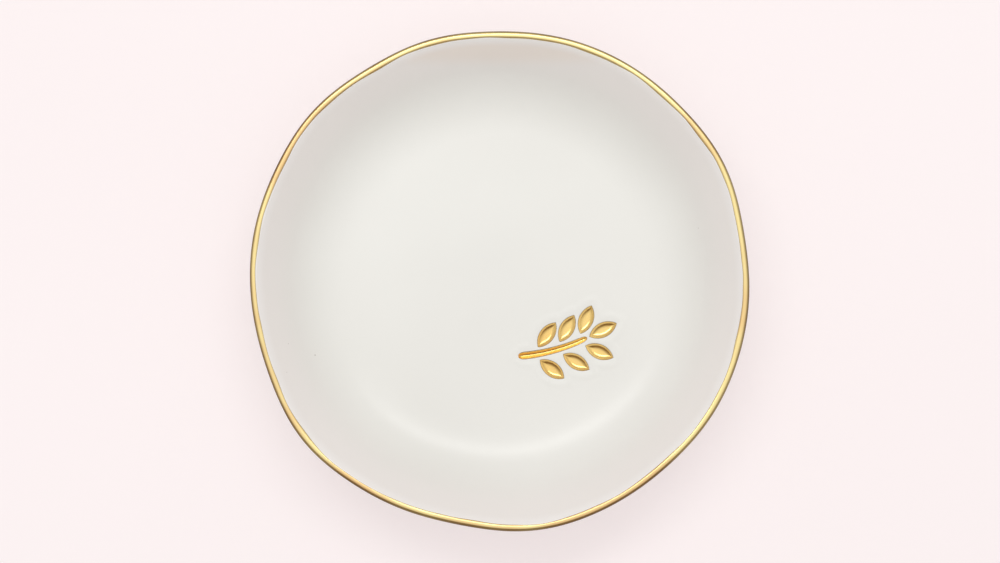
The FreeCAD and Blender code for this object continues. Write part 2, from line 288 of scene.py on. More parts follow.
@dataclass(frozen=True)
class FiredClay:
    """Pale stoneware, fired bare on the foot ring.

    It gives the eye a dry, sandy, warm surface with darker grog, worn greyer where it stands.
    """

    name: str = "fired_stoneware"
    pale_hex: str = "#D8CAB3"
    warm_hex: str = "#C9B496"
    grog_hex: str = "#8C7052"
    worn_hex: str = "#B9AF9F"
    cloud_size: float = 6.0
    grain_size: float = 0.3
    grain_height: float = 0.03
    grog_spacing: float = 1.1
    grog_radius: float = 0.14
    grog_core: float = 0.5  # share of its radius in which a grain of grog is darkest
    worn_height: float = 0.12
    roughness: tuple[float, float] = (0.72, 0.92)

    def material(self) -> bpy.types.Material:
        """Builds the bare clay.

        Returns:
            The finished material.
        """
        material, add = new_material(self.name)
        place = add("ShaderNodeTexCoord").outputs["Object"]
        height = add("ShaderNodeSeparateXYZ", [place]).outputs["Z"]
        cloud, grain = (
            add("ShaderNodeTexNoise", {"Vector": place, "Scale": per_metre(size), "Detail": detail})
            for size, detail in ((self.cloud_size, 4.0), (self.grain_size, 3.0)))
        cells = add("ShaderNodeTexVoronoi", {"Vector": place, "Scale": per_metre(self.grog_spacing)})
        reach = self.grog_radius / self.grog_spacing
        grog = add("ShaderNodeMapRange", (cells.outputs["Distance"], self.grog_core * reach, reach, 1.0, 0.0))
        rub = add("ShaderNodeMapRange", (height, 0.0, self.worn_height * MM, 1.0, 0.0))
        patchy = add("ShaderNodeMath", (rub, cloud), operation="MULTIPLY")
        colour = linear(self.pale_hex)
        for share, code in ((cloud, self.warm_hex), (grog, self.grog_hex), (patchy, self.worn_hex)):
            colour = add("ShaderNodeMix", {0: share, 6: colour, 7: linear(code)}, data_type="RGBA")
        bump = add("ShaderNodeBump", {
            "Height": grain, "Strength": 1.0, "Distance": self.grain_height * MM})
        dry = add("ShaderNodeMapRange", (grain, *NOISE_SPAN, *self.roughness))
        shader = add("ShaderNodeBsdfPrincipled", {"Base Color": colour, "Roughness": dry, "Normal": bump})
        add("ShaderNodeOutputMaterial", {"Surface": shader})
        return material


@dataclass(frozen=True)
class PaleTable:
    """Matt painted board under the dish: a plain pale ground that holds a soft shadow."""

    name: str = "matt_painted_board"
    pale_hex: str = "#FDF4F4"
    soft_hex: str = "#FAF0F0"
    cloud_size: float = 120.0
    roughness: float = 0.9
    specular: float = 0.2
    pale_share: float = 0.5  # how much of the board is seen as painted, whatever falls on it

    def material(self) -> bpy.types.Material:
        """Builds the board's paint.

        Returns:
            The finished material.
        """
        material, add = new_material(self.name)
        place = add("ShaderNodeTexCoord").outputs["Object"]
        cloud = add("ShaderNodeTexNoise", {
            "Vector": place, "Scale": per_metre(self.cloud_size), "Detail": 1.0})
        paint = add("ShaderNodeMix", {
            0: cloud, 6: linear(self.pale_hex), 7: linear(self.soft_hex)}, data_type="RGBA")
        shader = add("ShaderNodeBsdfPrincipled", {
            "Base Color": paint, "Roughness": self.roughness, "Specular IOR Level": self.specular})
        rays = add("ShaderNodeLightPath").outputs
        seen = rays["Is Camera Ray"]
        for kind in ("Is Glossy Ray", "Is Transmission Ray"):
            seen = add("ShaderNodeMath", (seen, rays[kind]), operation="MAXIMUM")
        share = add("ShaderNodeMath", (seen, self.pale_share), operation="MULTIPLY")
        plain = add("ShaderNodeEmission", {"Color": paint, "Strength": 1.0})
        board = add("ShaderNodeMixShader", (share, shader, plain))
        add("ShaderNodeOutputMaterial", {"Surface": board})
        return material


def new_mesh(name: str, points: Sequence | np.ndarray, edges: list, faces: list,
             marks: dict[str, np.ndarray] | None = None) -> bpy.types.Mesh:
    """A mesh with its own marks.

    Args:
        name: the mesh's name.
        points: points in millimetres.
        edges: pairs of points.
        faces: rings of points.
        marks: attribute name to a number for each point.

    Returns:
        The mesh, in metres.
    """
    mesh = bpy.data.meshes.new(name)
    mesh.from_pydata((np.asarray(points) * MM).tolist(), edges, faces)
    for mark, values in (marks or {}).items():
        layer = mesh.attributes.new(mark, "FLOAT", "POINT")
        layer.data.foreach_set("value", np.asarray(values, np.float32))
    return mesh


def in_scene(name: str, data: bpy.types.ID) -> bpy.types.Object:
    """Puts a mesh, lamp or camera in the scene.

    Args:
        name: the object's name.
        data: what the object holds.

    Returns:
        The object.
    """
    thing = bpy.data.objects.new(name, data)
    bpy.context.scene.collection.objects.link(thing)
    return thing


def smooth_step(share: np.ndarray) -> np.ndarray:
    """Eases from 0 to 1 as share goes from 0 to 1."""
    eased = np.clip(share, 0, 1)
    return eased * eased * (3 - 2 * eased)


@dataclass(frozen=True)
class Corner:
    """A corner of a section: distance from the axis, height and rounding."""

    out: float
    up: float
    rounding: float = 0.0


@dataclass(frozen=True)
class LipWave:
    """One wave of the hand-formed lip: how many go round, how high, and turned by how much."""

    count: int
    height: float
    turn: float


@dataclass(frozen=True)
class Drift:
    """A slow random drift of the hand: how fine it is, its seed, and its top as a share of its size."""

    scale: float
    seed: float
    top: float = 1.0


@dataclass
class Section:
    """A line that is turned into ware, with how each of its points follows the hand.

    points are (out, up) in millimetres. sway is the share of the lip's waves that a point takes,
    and slide is the way that it moves where the brush or the dip wavers.
    """

    points: np.ndarray
    sway: np.ndarray | None = None
    slide: np.ndarray | None = None
    closed: bool = False
    marks: dict[str, np.ndarray] = field(default_factory=dict)

    def __post_init__(self) -> None:
        """Holds the points still where nothing else is said."""
        self.sway = np.zeros(len(self.points)) if self.sway is None else self.sway
        self.slide = np.zeros_like(self.points) if self.slide is None else self.slide

    def wire(self, name: str, base: float) -> bpy.types.Object:
        """Makes the line a wire that Geometry Nodes can turn about the axis.

        Args:
            name: the wire's name.
            base: the radius of the circle that it is turned round, in millimetres.

        Returns:
            The wire's object, in the scene.
        """
        count = len(self.points)
        edges = [(i, i + 1) for i in range(count - 1)] + ([(count - 1, 0)] if self.closed else [])
        laid = np.column_stack([self.points[:, 0] - base, -self.points[:, 1], np.zeros(count)])
        marks = {"sway": self.sway, "slide_out": self.slide[:, 0], "slide_up": self.slide[:, 1]}
        return in_scene(name, new_mesh(name, laid, edges, [], marks | self.marks))


def rounded_run(corners: list[Corner], arc_step: float, run_step: float) -> np.ndarray:
    """Draws a line through corners, rounding them.

    Args:
        corners: the corners in order; the first and the last are its ends.
        arc_step: degrees between points on a rounded corner.
        run_step: the longest straight stretch without a point, in millimetres.

    Returns:
        Points, as (out, up).
    """
    at = [np.array((corner.out, corner.up)) for corner in corners]
    line = [at[0]]
    for before, here, after, corner in zip(at, at[1:], at[2:], corners[1:]):
        if corner.rounding <= 0:
            line.append(here)
            continue
        back = (before - here) / np.linalg.norm(before - here)
        ahead = (after - here) / np.linalg.norm(after - here)
        half = 0.5 * math.acos(float(np.clip(back @ ahead, -1, 1)))
        middle = (back + ahead) / np.linalg.norm(back + ahead)
        centre = here + middle * corner.rounding / math.sin(half)
        spoke = here + back * corner.rounding / math.tan(half) - centre
        sweep = math.pi - 2 * half
        if back[0] * ahead[1] - back[1] * ahead[0] > 0:
            sweep = -sweep
        steps = max(FEWEST_STEPS, math.ceil(math.degrees(abs(sweep)) / arc_step))
        for step in range(steps + 1):
            cos, sin = math.cos(sweep * step / steps), math.sin(sweep * step / steps)
            turned = np.array((cos * spoke[0] - sin * spoke[1], sin * spoke[0] + cos * spoke[1]))
            line.append(centre + turned)
    line.append(at[-1])
    spread = [line[0]]
    for start, end in zip(line, line[1:]):
        parts = max(1, math.ceil(float(np.linalg.norm(end - start)) / run_step))
        spread += [start + (end - start) * part / parts for part in range(1, parts + 1)]
    return np.array(spread)


def new_tree(name: str, sizes: dict) -> tuple[bpy.types.NodeTree, Adder, bpy.types.bpy_prop_collection]:
    """An empty Geometry Nodes tree with a named input for each size.

    Args:
        name: the tree's name.
        sizes: input name to value, which gives the input its kind.

    Returns:
        The tree, add_node for it, and its inputs, of which the first is Geometry.
    """
    kinds = {float: "Float", int: "Int", tuple: "Vector",
             bpy.types.Object: "Object", bpy.types.Material: "Material"}
    tree = bpy.data.node_groups.new(name, "GeometryNodeTree")
    tree.interface.new_socket("Geometry", in_out="INPUT", socket_type="NodeSocketGeometry")
    for label, value in sizes.items():
        tree.interface.new_socket(label, in_out="INPUT", socket_type=f"NodeSocket{kinds[type(value)]}")
    tree.interface.new_socket("Geometry", in_out="OUTPUT", socket_type="NodeSocketGeometry")
    return tree, partial(add_node, tree), add_node(tree, "NodeGroupInput").outputs


def end_tree(tree: bpy.types.NodeTree, shape: bpy.types.Node, finish: bpy.types.NodeSocket) -> None:
    """Ends a tree: makes its instances real and gives the result its material.

    Args:
        tree: the Geometry Nodes tree.
        shape: the node that gives the geometry.
        finish: the input that gives the material.
    """
    whole = add_node(tree, "GeometryNodeRealizeInstances", [shape])
    dressed = add_node(tree, "GeometryNodeSetMaterial", {"Geometry": whole, "Material": finish})
    add_node(tree, "NodeGroupOutput", [dressed])


def made_by_nodes(host: bpy.types.Object, tree: bpy.types.NodeTree, sizes: dict, name: str) -> bpy.types.Mesh:
    """Runs a tree on a host object and keeps the result as a plain mesh.

    Args:
        host: the object with the tree's geometry; it is removed.
        tree: the Geometry Nodes tree.
        sizes: input name to value.
        name: the mesh's name.

    Returns:
        The mesh, with its material.
    """
    modifier = host.modifiers.new(name, "NODES")
    modifier.node_group = tree
    for item in tree.interface.items_tree:
        if item.in_out == "INPUT" and item.name in sizes:
            modifier[item.identifier] = sizes[item.name]
    depsgraph = bpy.context.evaluated_depsgraph_get()
    mesh = bpy.data.meshes.new_from_object(
        host.evaluated_get(depsgraph), preserve_all_data_layers=True, depsgraph=depsgraph)
    mesh.name = name
    host.modifiers.remove(modifier)
    bpy.data.objects.remove(host)
    return mesh


@dataclass
class DishForm:
    """The dish's section and the waves of its hand-formed lip, which every layer follows."""

    rim_radius: float = 50.0
    rim_height: float = 18.0
    wall_lean: float = 55.0
    inner_lean: float = 51.5
    lip_width: float = 1.75
    lip_outer_round: float = 0.6
    lip_inner_round: float = 0.9
    floor_height: float = 4.2
    floor_bend: float = 16.0
    under_height: float = 1.2
    under_bend: float = 18.0
    foot_inset: float = 1.0
    foot_width: float = 3.0
    foot_round: float = 0.5
    glaze_thick: float = 0.3
    glaze_line: float = 0.6
    glaze_roll: float = 0.22  # rounding of the glaze's lower edge
    foot_pool: float = 0.5  # glaze that gathers in the corner at the foot
    floor_ring: float = 29.9  # inside this the floor is level and carries the sprig
    segments: int = 300
    turning_base: float = 10.0
    dip: float = 0.3  # how far the lip's height drops in places
    dip_drift: Drift = Drift(1.6, 3.1, 0.1)
    dip_power: float = 3.0  # how near to the lip the drop stays
    unevenness: float = 0.07  # of the pressed walls
    press_drift: Drift = Drift(per_metre(19.0), 8.4, 0.0)  # as wide as a thumb
    line_waver: float = 0.12  # of the glaze's lower edge
    waver_drift: Drift = Drift(4.5, 62.25)
    waves: tuple[LipWave, ...] = (  # the four of the part, then the finer ones
        LipWave(4, 0.23, 164.0), LipWave(5, 0.13, 354.0), LipWave(6, 0.19, 242.0), LipWave(7, 0.15, 159.0),
        LipWave(3, 0.06, 165.0), LipWave(9, 0.06, 215.0), LipWave(10, 0.1, 316.0), LipWave(13, 0.06, 331.0))

    @property
    def half_lean(self) -> float:
        """Half the outer wall's lean, in radians."""
        return math.radians(self.wall_lean) / 2

    @property
    def half_inner(self) -> float:
        """Half the inner wall's lean, in radians."""
        return math.radians(self.inner_lean) / 2

    @property
    def lip_edge(self) -> float:
        """Radius of the lip's outer edge before it is rounded."""
        return self.rim_radius + self.lip_outer_round * (1 / math.tan(self.half_lean) - 1)

    @property
    def lip_middle(self) -> float:
        """Radius of the middle of the lip."""
        return self.lip_edge - self.lip_width / 2

    @property
    def under_edge(self) -> float:
        """Radius at which the outer wall would meet the underside without a bend."""
        return self.lip_edge - (self.rim_height - self.under_height) / math.tan(2 * self.half_lean)

    @property
    def floor_edge(self) -> float:
        """Radius at which the level floor bends up to the wall."""
        return self.skin_corners(0.0)[1].out - self.floor_bend * math.tan(self.half_inner)

    @property
    def foot_edge(self) -> float:
        """Outer radius of the bare foot ring."""
        return self.under_edge - self.under_bend * math.tan(self.half_lean) - self.foot_inset

    def skin_corners(self, inset: float) -> list[Corner]:
        """The corners of the dish's skin, from the level floor over the lip to the underside.

        Args:
            inset: how far behind the glazed skin this one lies.

        Returns:
            The corners, ending where the underside comes to the foot.
        """
        grown = inset * math.tan(self.half_inner)
        mouth = self.lip_edge - self.lip_width
        floor = mouth - (self.rim_height - self.floor_height) / math.tan(2 * self.half_inner)
        low, top, under = self.floor_height - inset, self.rim_height - inset, self.under_height + inset
        return [
            Corner(self.floor_ring, low),
            Corner(floor + grown, low, self.floor_bend + inset),
            Corner(mouth + grown, top, self.lip_inner_round - inset),
            Corner(self.lip_edge - inset / math.tan(self.half_lean), top, self.lip_outer_round - inset),
            Corner(self.under_edge - inset * math.tan(self.half_lean), under, self.under_bend - inset),
        ]

    def section(self, corners: list[Corner], arc_step: float = 3.5, run_step: float = 1.3) -> Section:
        """A section that starts inside the dish, with the share of the waves at each point.

        Args:
            corners: the line's corners.
            arc_step: degrees between points on a rounded corner.
            run_step: the longest straight stretch without a point.

        Returns:
            The section, which nothing slides yet.
        """
        points = rounded_run(corners, arc_step, run_step)
        over = int(np.argmax(points[:, 0] >= self.lip_middle))
        inside = np.arange(len(points)) < over
        still = np.where(inside, self.floor_height, self.under_height + self.glaze_thick)
        return Section(points, np.clip((points[:, 1] - still) / (self.rim_height - still), 0, 1))

    def turn(self, section: Section, name: str, waver: float, finish: bpy.types.Material) -> bpy.types.Mesh:
        """Turns a section into ware with the lip's waves, by Geometry Nodes.

        Args:
            section: the line to turn.
            name: the mesh's name.
            waver: how far points that slide do so.
            finish: the material.

        Returns:
            A plain mesh.
        """
        sizes = {"Turning Radius": self.turning_base * MM, "Segments": self.segments, "Dip": self.dip * MM,
                 "Unevenness": self.unevenness * MM, "Waver": waver * MM, "Finish": finish}
        for wave in self.waves:
            sizes[f"Wave {wave.count} Height"] = wave.height * MM
            sizes[f"Wave {wave.count} Turn"] = math.radians(wave.turn)
        return made_by_nodes(section.wire(name, self.turning_base), self.ware_tree(sizes), sizes, name)

    def ware_tree(self, sizes: dict) -> bpy.types.NodeTree:
        """The tree that turns a section about the axis and gives it the marks of the hand.

        Args:
            sizes: the tree's inputs, among them each wave's height and turn.

        Returns:
            The tree.
        """
        tree, add, given = new_tree("turned_ware", sizes)
        path = add("GeometryNodeCurvePrimitiveCircle", {
            "Resolution": given["Segments"], "Radius": given["Turning Radius"]}, mode="RADIUS")
        line = add("GeometryNodeMeshToCurve", [given["Geometry"]])
        ware = add("GeometryNodeCurveToMesh", (path, line))

        here = add("GeometryNodeInputPosition")
        axes = add("ShaderNodeSeparateXYZ", [here])
        turn = add("ShaderNodeMath", (axes.outputs["Y"], axes.outputs["X"]), operation="ARCTAN2")
        outward = add("ShaderNodeCombineXYZ", [
            add("ShaderNodeMath", [turn], operation=side) for side in ("COSINE", "SINE")])
        sway, slide_out, slide_up = (
            add("GeometryNodeInputNamedAttribute", {"Name": mark}, data_type="FLOAT")
            for mark in ("sway", "slide_out", "slide_up"))

        reach = 0.0
        for wave in self.waves:
            angle = add("ShaderNodeMath", (turn, float(wave.count)), operation="MULTIPLY")
            phase = add("ShaderNodeMath", (angle, given[f"Wave {wave.count} Turn"]), operation="SUBTRACT")
            swing = add("ShaderNodeMath", [phase], operation="COSINE")
            reach = add("ShaderNodeMath", (swing, given[f"Wave {wave.count} Height"], reach),
                        operation="MULTIPLY_ADD")

        drifts = []
        for size, drift, over in (("Dip", self.dip_drift, outward),
                                  ("Unevenness", self.press_drift, here),
                                  ("Waver", self.waver_drift, outward)):
            noise = add("ShaderNodeTexNoise", {
                "Vector": over, "W": drift.seed, "Scale": drift.scale, "Detail": 1.0}, noise_dimensions="4D")
            signed = add("ShaderNodeMapRange", (noise, *DRIFT_SPAN, -1.0, drift.top))
            drifts.append(add("ShaderNodeMath", (signed, given[size]), operation="MULTIPLY"))
        dip, press, waver = drifts

        pressed = add("ShaderNodeMath", (reach, press), operation="ADD")
        swayed = add("ShaderNodeMath", (pressed, sway), operation="MULTIPLY")
        out = add("ShaderNodeMath", (waver, slide_out, swayed), operation="MULTIPLY_ADD")
        drop = add("ShaderNodeMath", (sway, self.dip_power), operation="POWER")
        dipped = add("ShaderNodeMath", (dip, drop), operation="MULTIPLY")
        up = add("ShaderNodeMath", (waver, slide_up, dipped), operation="MULTIPLY_ADD")
        sideways = add("ShaderNodeVectorMath", {0: outward, "Scale": out}, operation="SCALE")
        upward = add("ShaderNodeCombineXYZ", {"Z": up})
        offset = add("ShaderNodeVectorMath", (sideways, upward), operation="ADD")
        moved = add("GeometryNodeSetPosition", {"Geometry": ware, "Offset": offset})
        closed = add("GeometryNodeMergeByDistance", {"Geometry": moved, "Distance": WELD})
        end_tree(tree, closed, given["Finish"])
        return tree


@dataclass
class Sprig:
    """A generic sprig pressed into the floor: a bowed stem, pairs of leaves and one at the tip."""

    form: DishForm
    inset: float = 12.2
    way: float = -52.5
    tilt: float = 15.0
    stem_bow: float = 38.0
    stem_length: float = 14.6
    stem_width: float = 1.6
    stem_depth: float = 0.58
    stem_bare: float = 3.0
    stem_taper: float = 0.28
    end_power: float = 14.0  # how short the rounded ends of the stem are
    leaf_length: float = 6.2
    leaf_width: float = 3.0
    leaf_depth: float = 0.64  # a little less than was cut, where the glaze gathers
    leaf_lean: float = 46.0
    leaf_gap: float = 0.5
    leaf_step: float = 4.7
    leaf_pairs: int = 3
    leaf_grow: float = 1.22  # how far a leaf's outline moves out for each millimetre behind the skin
    edge_lead: float = 0.12  # over which the stamp's edge rounds over
    side_run: float = 1.5  # from a leaf's outline in to where its trough is level
    side_power: float = 3.0  # how much steeper the trough is at its edge than a straight side
    swell_height: float = 0.11  # clay pushed up round the stamp
    swell_away: float = 1.15
    swell_width: float = 0.55
    fade_run: float = 1.2  # from the floor's ring in to where the relief is whole
    leaf_lines: tuple[float, ...] = (  # how far inside a leaf's outline the floor's mesh has a line
        -0.42, -0.14, -0.05, 0.05, 0.15, 0.26, 0.38, 0.5, 0.63, 0.77, 0.92, 1.1, 1.3)
    stem_lines: tuple[float, ...] = (0.0, 0.3, 0.6, 0.85, 1.05, 1.25, 1.7)  # in half widths of the stem
    line_steps: int = 26  # along a side of a leaf
    rib_inset: float = 0.3
    rib_points: int = 20
    stem_points: int = 81
    least_taper: float = 0.12  # so that the lines along the stem don't meet at its ends
    grids: tuple[tuple[float, float, float], ...] = (  # a step, and how far outside the stamp it holds
        (0.45, 0.5, 2.9), (1.9, 2.9, FAR))
    ring_clearance: float = 0.6  # between a grid and the floor's ring, in steps
    near: float = 1e-5  # points of the floor's mesh nearer than this are one point

    @property
    def middle(self) -> np.ndarray:
        """The middle of the stem."""
        way = math.radians(self.way)
        return (self.form.floor_edge - self.inset) * np.array((math.cos(way), math.sin(way)))

    @property
    def bow_centre(self) -> np.ndarray:
        """The point that the stem bows about."""
        tilt = math.radians(self.tilt)
        return self.middle + self.stem_bow * np.array((-math.sin(tilt), math.cos(tilt)))

    @property
    def leaf_start(self) -> float:
        """From the stem's centre line out along a leaf to its near tip."""
        return (self.stem_width / 2 + self.leaf_gap) / math.sin(math.radians(self.leaf_lean))

    @property
    def leaf_arc(self) -> float:
        """Radius of a leaf's two sides."""
        return (self.leaf_length ** 2 + self.leaf_width ** 2) / (4 * self.leaf_width)

    @property
    def leaf_sunk(self) -> float:
        """From a leaf's middle line to the centre of a side's arc."""
        return self.leaf_arc - self.leaf_width / 2

    def stem_angle(self, along: float) -> float:
        """The angle about the bow's centre at a place along the stem, in radians."""
        return math.radians(self.tilt - 90) + along / self.stem_bow

    def leaf_places(self) -> list[tuple[float, float, float]]:
        """Where the leaves grow.

        Returns:
            Each leaf's place along the stem, its lean in radians, and its start.
        """
        lean = math.radians(self.leaf_lean)
        first = self.stem_bare - self.stem_length / 2
        pairs = [(first + self.leaf_step * pair, side * lean, self.leaf_start)
                 for pair in range(self.leaf_pairs) for side in (1, -1)]
        return pairs + [(self.stem_length / 2, 0.0, self.leaf_gap)]

    def leaf_axes(self, along: float, lean: float, start: float) -> tuple[np.ndarray, np.ndarray, np.ndarray]:
        """A leaf's own axes.

        Args:
            along: the leaf's place along the stem.
            lean: its lean, in radians.
            start: from the stem's centre line to its near tip.

        Returns:
            Its near tip, its long direction and its cross direction.
        """
        about = self.stem_angle(along)
        heading = about + math.pi / 2 + lean
        run = np.array((math.cos(heading), math.sin(heading)))
        root = self.bow_centre + self.stem_bow * np.array((math.cos(about), math.sin(about)))
        return root + start * run, run, np.array((-run[1], run[0]))

    def leaf_inside(self, run: np.ndarray, across: np.ndarray) -> np.ndarray:
        """How far inside a leaf's outline points lie, in the leaf's own axes."""
        return self.leaf_arc - np.hypot(run - self.leaf_length / 2, np.abs(across) + self.leaf_sunk)

    def leaf_ring(self, inside: float) -> np.ndarray:
        """A leaf's outline, moved in.

        Args:
            inside: how far it moves in.

        Returns:
            Its points, in the leaf's own axes.
        """
        arc = self.leaf_arc - inside
        reach = math.acos(self.leaf_sunk / arc)
        turns = np.linspace(-reach, reach, self.line_steps + 1)
        side = np.column_stack([self.leaf_length / 2 + arc * np.sin(turns),
                                arc * np.cos(turns) - self.leaf_sunk])
        other = side[::-1] * (1, -1)
        return np.vstack([side[:-1], other[:-1]])

    def taper(self, share: np.ndarray) -> np.ndarray:
        """The stem's width: rounded at both ends and thinner at the tip.

        Args:
            share: shares of the stem's length.

        Returns:
            Shares of the stem's full width.
        """
        along = np.clip(share, 0, 1)
        ends = np.sqrt(np.clip(1 - np.abs(2 * along - 1) ** self.end_power, 0, 1))
        return ends * (1 - self.stem_taper * along)

    def pressed_leaf(self, inside: np.ndarray) -> np.ndarray:
        """How deep a leaf was pressed, by how far inside its outline a point lies."""
        eased = (inside + np.hypot(inside, self.edge_lead)) / 2
        return self.leaf_depth * (1 - (1 - np.clip(eased / self.side_run, 0, 1)) ** self.side_power)

    def pressed_stem(self, inside: np.ndarray) -> np.ndarray:
        """How deep the stem was pressed, by how far inside its outline a point lies."""
        run = self.stem_width / 2 + self.edge_lead
        return self.stem_depth * smooth_step((inside + self.edge_lead) / run)

    def stem_frame(self, places: np.ndarray) -> tuple[np.ndarray, np.ndarray]:
        """Where points lie beside the stem.

        Args:
            places: points as (x, y).

        Returns:
            Their shares of the stem's length, and their distances across it.
        """
        away = places - self.bow_centre
        turned = np.arctan2(away[:, 1], away[:, 0]) - self.stem_angle(-self.stem_length / 2)
        turned = (turned + math.pi) % (2 * math.pi) - math.pi
        return turned * self.stem_bow / self.stem_length, np.hypot(away[:, 0], away[:, 1]) - self.stem_bow

    def relief(self, places: np.ndarray, grow: float) -> tuple[np.ndarray, np.ndarray]:
        """How deep the sprig is pressed at points of the floor.

        Args:
            places: points as (x, y).
            grow: how far behind the glazed skin the relief lies.

        Returns:
            The depth, and how far inside the nearest outline each point lies.
        """
        nearest = np.full(len(places), -FAR)
        depth = np.zeros(len(places))
        for place in self.leaf_places():
            tip, run, cross = self.leaf_axes(*place)
            inside = self.leaf_inside((places - tip) @ run, (places - tip) @ cross) + self.leaf_grow * grow
            nearest = np.maximum(nearest, inside)
            depth = np.maximum(depth, self.pressed_leaf(inside))
        share, across = self.stem_frame(places)
        width = np.maximum(self.taper(share), 1 / FAR)
        past = np.maximum(np.abs(share - 0.5) - 0.5, 0) * self.stem_length
        inside = self.stem_width / 2 * width - np.hypot(across, past) + grow
        depth = np.maximum(depth, self.pressed_stem(inside / width) * width)
        return depth, np.maximum(nearest, inside)

    def floor_sheet(self, name: str, floor: Floor, grow: float) -> bpy.types.Mesh:
        """One skin of the level floor with the sprig pressed into it.

        Args:
            name: the mesh's name.
            floor: points and triangles.
            grow: how far behind the glazed skin this one lies.

        Returns:
            The open sheet.
        """
        places, faces = floor
        depth, inside = self.relief(places, grow)
        swell = self.swell_height * np.exp(-((inside - grow + self.swell_away) / self.swell_width) ** 2)
        fade = smooth_step((self.form.floor_ring - np.hypot(places[:, 0], places[:, 1])) / self.fade_run)
        heights = self.form.floor_height - grow + (swell - depth) * fade
        return new_mesh(name, np.column_stack([places, heights]), [], faces)

    def stamp_lines(self) -> list[tuple[np.ndarray, bool]]:
        """The lines of the floor's mesh along the stamp.

        Returns:
            Each line's points, with whether it closes.
        """
        lines: list[tuple[np.ndarray, bool]] = []
        for place in self.leaf_places():
            tip, run, cross = self.leaf_axes(*place)
            for inside in self.leaf_lines:
                ring = self.leaf_ring(inside)
                lines.append((tip + np.outer(ring[:, 0], run) + np.outer(ring[:, 1], cross), True))
            rib = np.linspace(self.rib_inset, self.leaf_length - self.rib_inset, self.rib_points)
            lines.append((tip + np.outer(rib, run), False))
        shares = (1 - np.cos(np.linspace(0.0, math.pi, self.stem_points))) / 2
        angles = self.stem_angle(0) + (shares - 0.5) * self.stem_length / self.stem_bow
        widths = self.stem_width / 2 * np.maximum(self.taper(shares), self.least_taper)
        for part in [-part for part in self.stem_lines[:0:-1]] + list(self.stem_lines):
            radius = self.stem_bow + part * widths
            spun = np.column_stack([np.cos(angles) * radius, np.sin(angles) * radius])
            lines.append((self.bow_centre + spun, False))
        return lines

    def floor_mesh(self) -> Floor:
        """Triangles over the floor inside its ring, fine along the stamp.

        Returns:
            Points as (x, y) and triangles.
        """
        ring = self.form.floor_ring
        turns = np.arange(self.form.segments) * 2 * math.pi / self.form.segments
        lines = [(ring * np.column_stack([np.cos(turns), np.sin(turns)]), True), *self.stamp_lines()]
        points: list[np.ndarray] = []
        edges: list[tuple[int, int]] = []
        for line, closes in lines:
            first = sum(len(known) for known in points)
            points.append(line)
            edges += [(first + i, first + i + 1) for i in range(len(line) - 1)]
            if closes:
                edges.append((first + len(line) - 1, first))
        for step, near, far in self.grids:
            rows = np.arange(-ring, ring, step * ROW_STEP)
            grid = np.array([(x + (row % 2) * step / 2, y)
                             for row, y in enumerate(rows) for x in np.arange(-ring, ring, step)])
            inside = self.relief(grid, 0.0)[1]
            clear = np.hypot(grid[:, 0], grid[:, 1]) < ring - self.ring_clearance * step
            points.append(grid[clear & (inside < -near) & (inside >= -far)])
        flat = [Vector(point) for point in np.vstack(points)]
        found, _, faces, *_ = delaunay_2d_cdt(flat, edges, [], 0, self.near)
        return np.array([tuple(point) for point in found]), [tuple(face) for face in faces]


def joined(name: str, parts: list[bpy.types.Mesh], finish: bpy.types.Material,
           sharp: float = 50.0) -> bpy.types.Object:
    """Joins meshes to one piece, closes their seams and turns their faces outwards.

    Args:
        name: the piece's name.
        parts: the meshes; they are removed.
        finish: the piece's material.
        sharp: edges that bend by more degrees than this stay sharp.

    Returns:
        The piece, in the scene.
    """
    work = bmesh.new()
    for part in parts:
        work.from_mesh(part)
        bpy.data.meshes.remove(part)
    bmesh.ops.remove_doubles(work, verts=work.verts, dist=WELD)
    bmesh.ops.dissolve_degenerate(work, edges=work.edges, dist=SLIVER)
    bmesh.ops.recalc_face_normals(work, faces=work.faces)
    for face in work.faces:
        face.smooth = True
        face.material_index = 0
    mesh = bpy.data.meshes.new(name)
    work.to_mesh(mesh)
    work.free()
    mesh.materials.clear()
    mesh.materials.append(finish)
    mesh.set_sharp_from_angle(angle=math.radians(sharp))
    return in_scene(name, mesh)


def laid_on(piece: bpy.types.Object, node: str) -> bpy.types.Object:
    """Lets a piece ride on the dish, stand for a node and take that slot's finish.

    Args:
        piece: the finished piece.
        node: the node of the part that it stands for.

    Returns:
        The piece.
    """
    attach(piece, BODY)
    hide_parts(node)
    return piece


def report(piece: bpy.types.Object) -> None:
    """Logs a piece's triangles and its open edges, of which there should be none.

    Args:
        piece: the finished piece.
    """
    mesh = piece.data
    sides = np.zeros(len(mesh.loops), np.int32)
    mesh.loops.foreach_get("edge_index", sides)
    open_edges = np.count_nonzero(np.bincount(sides, minlength=len(mesh.edges)) != 2)
    triangles = sum(len(face.vertices) - 2 for face in mesh.polygons)
    LOG.info("%s: %d triangles, %d open edges", piece.name, triangles, open_edges)


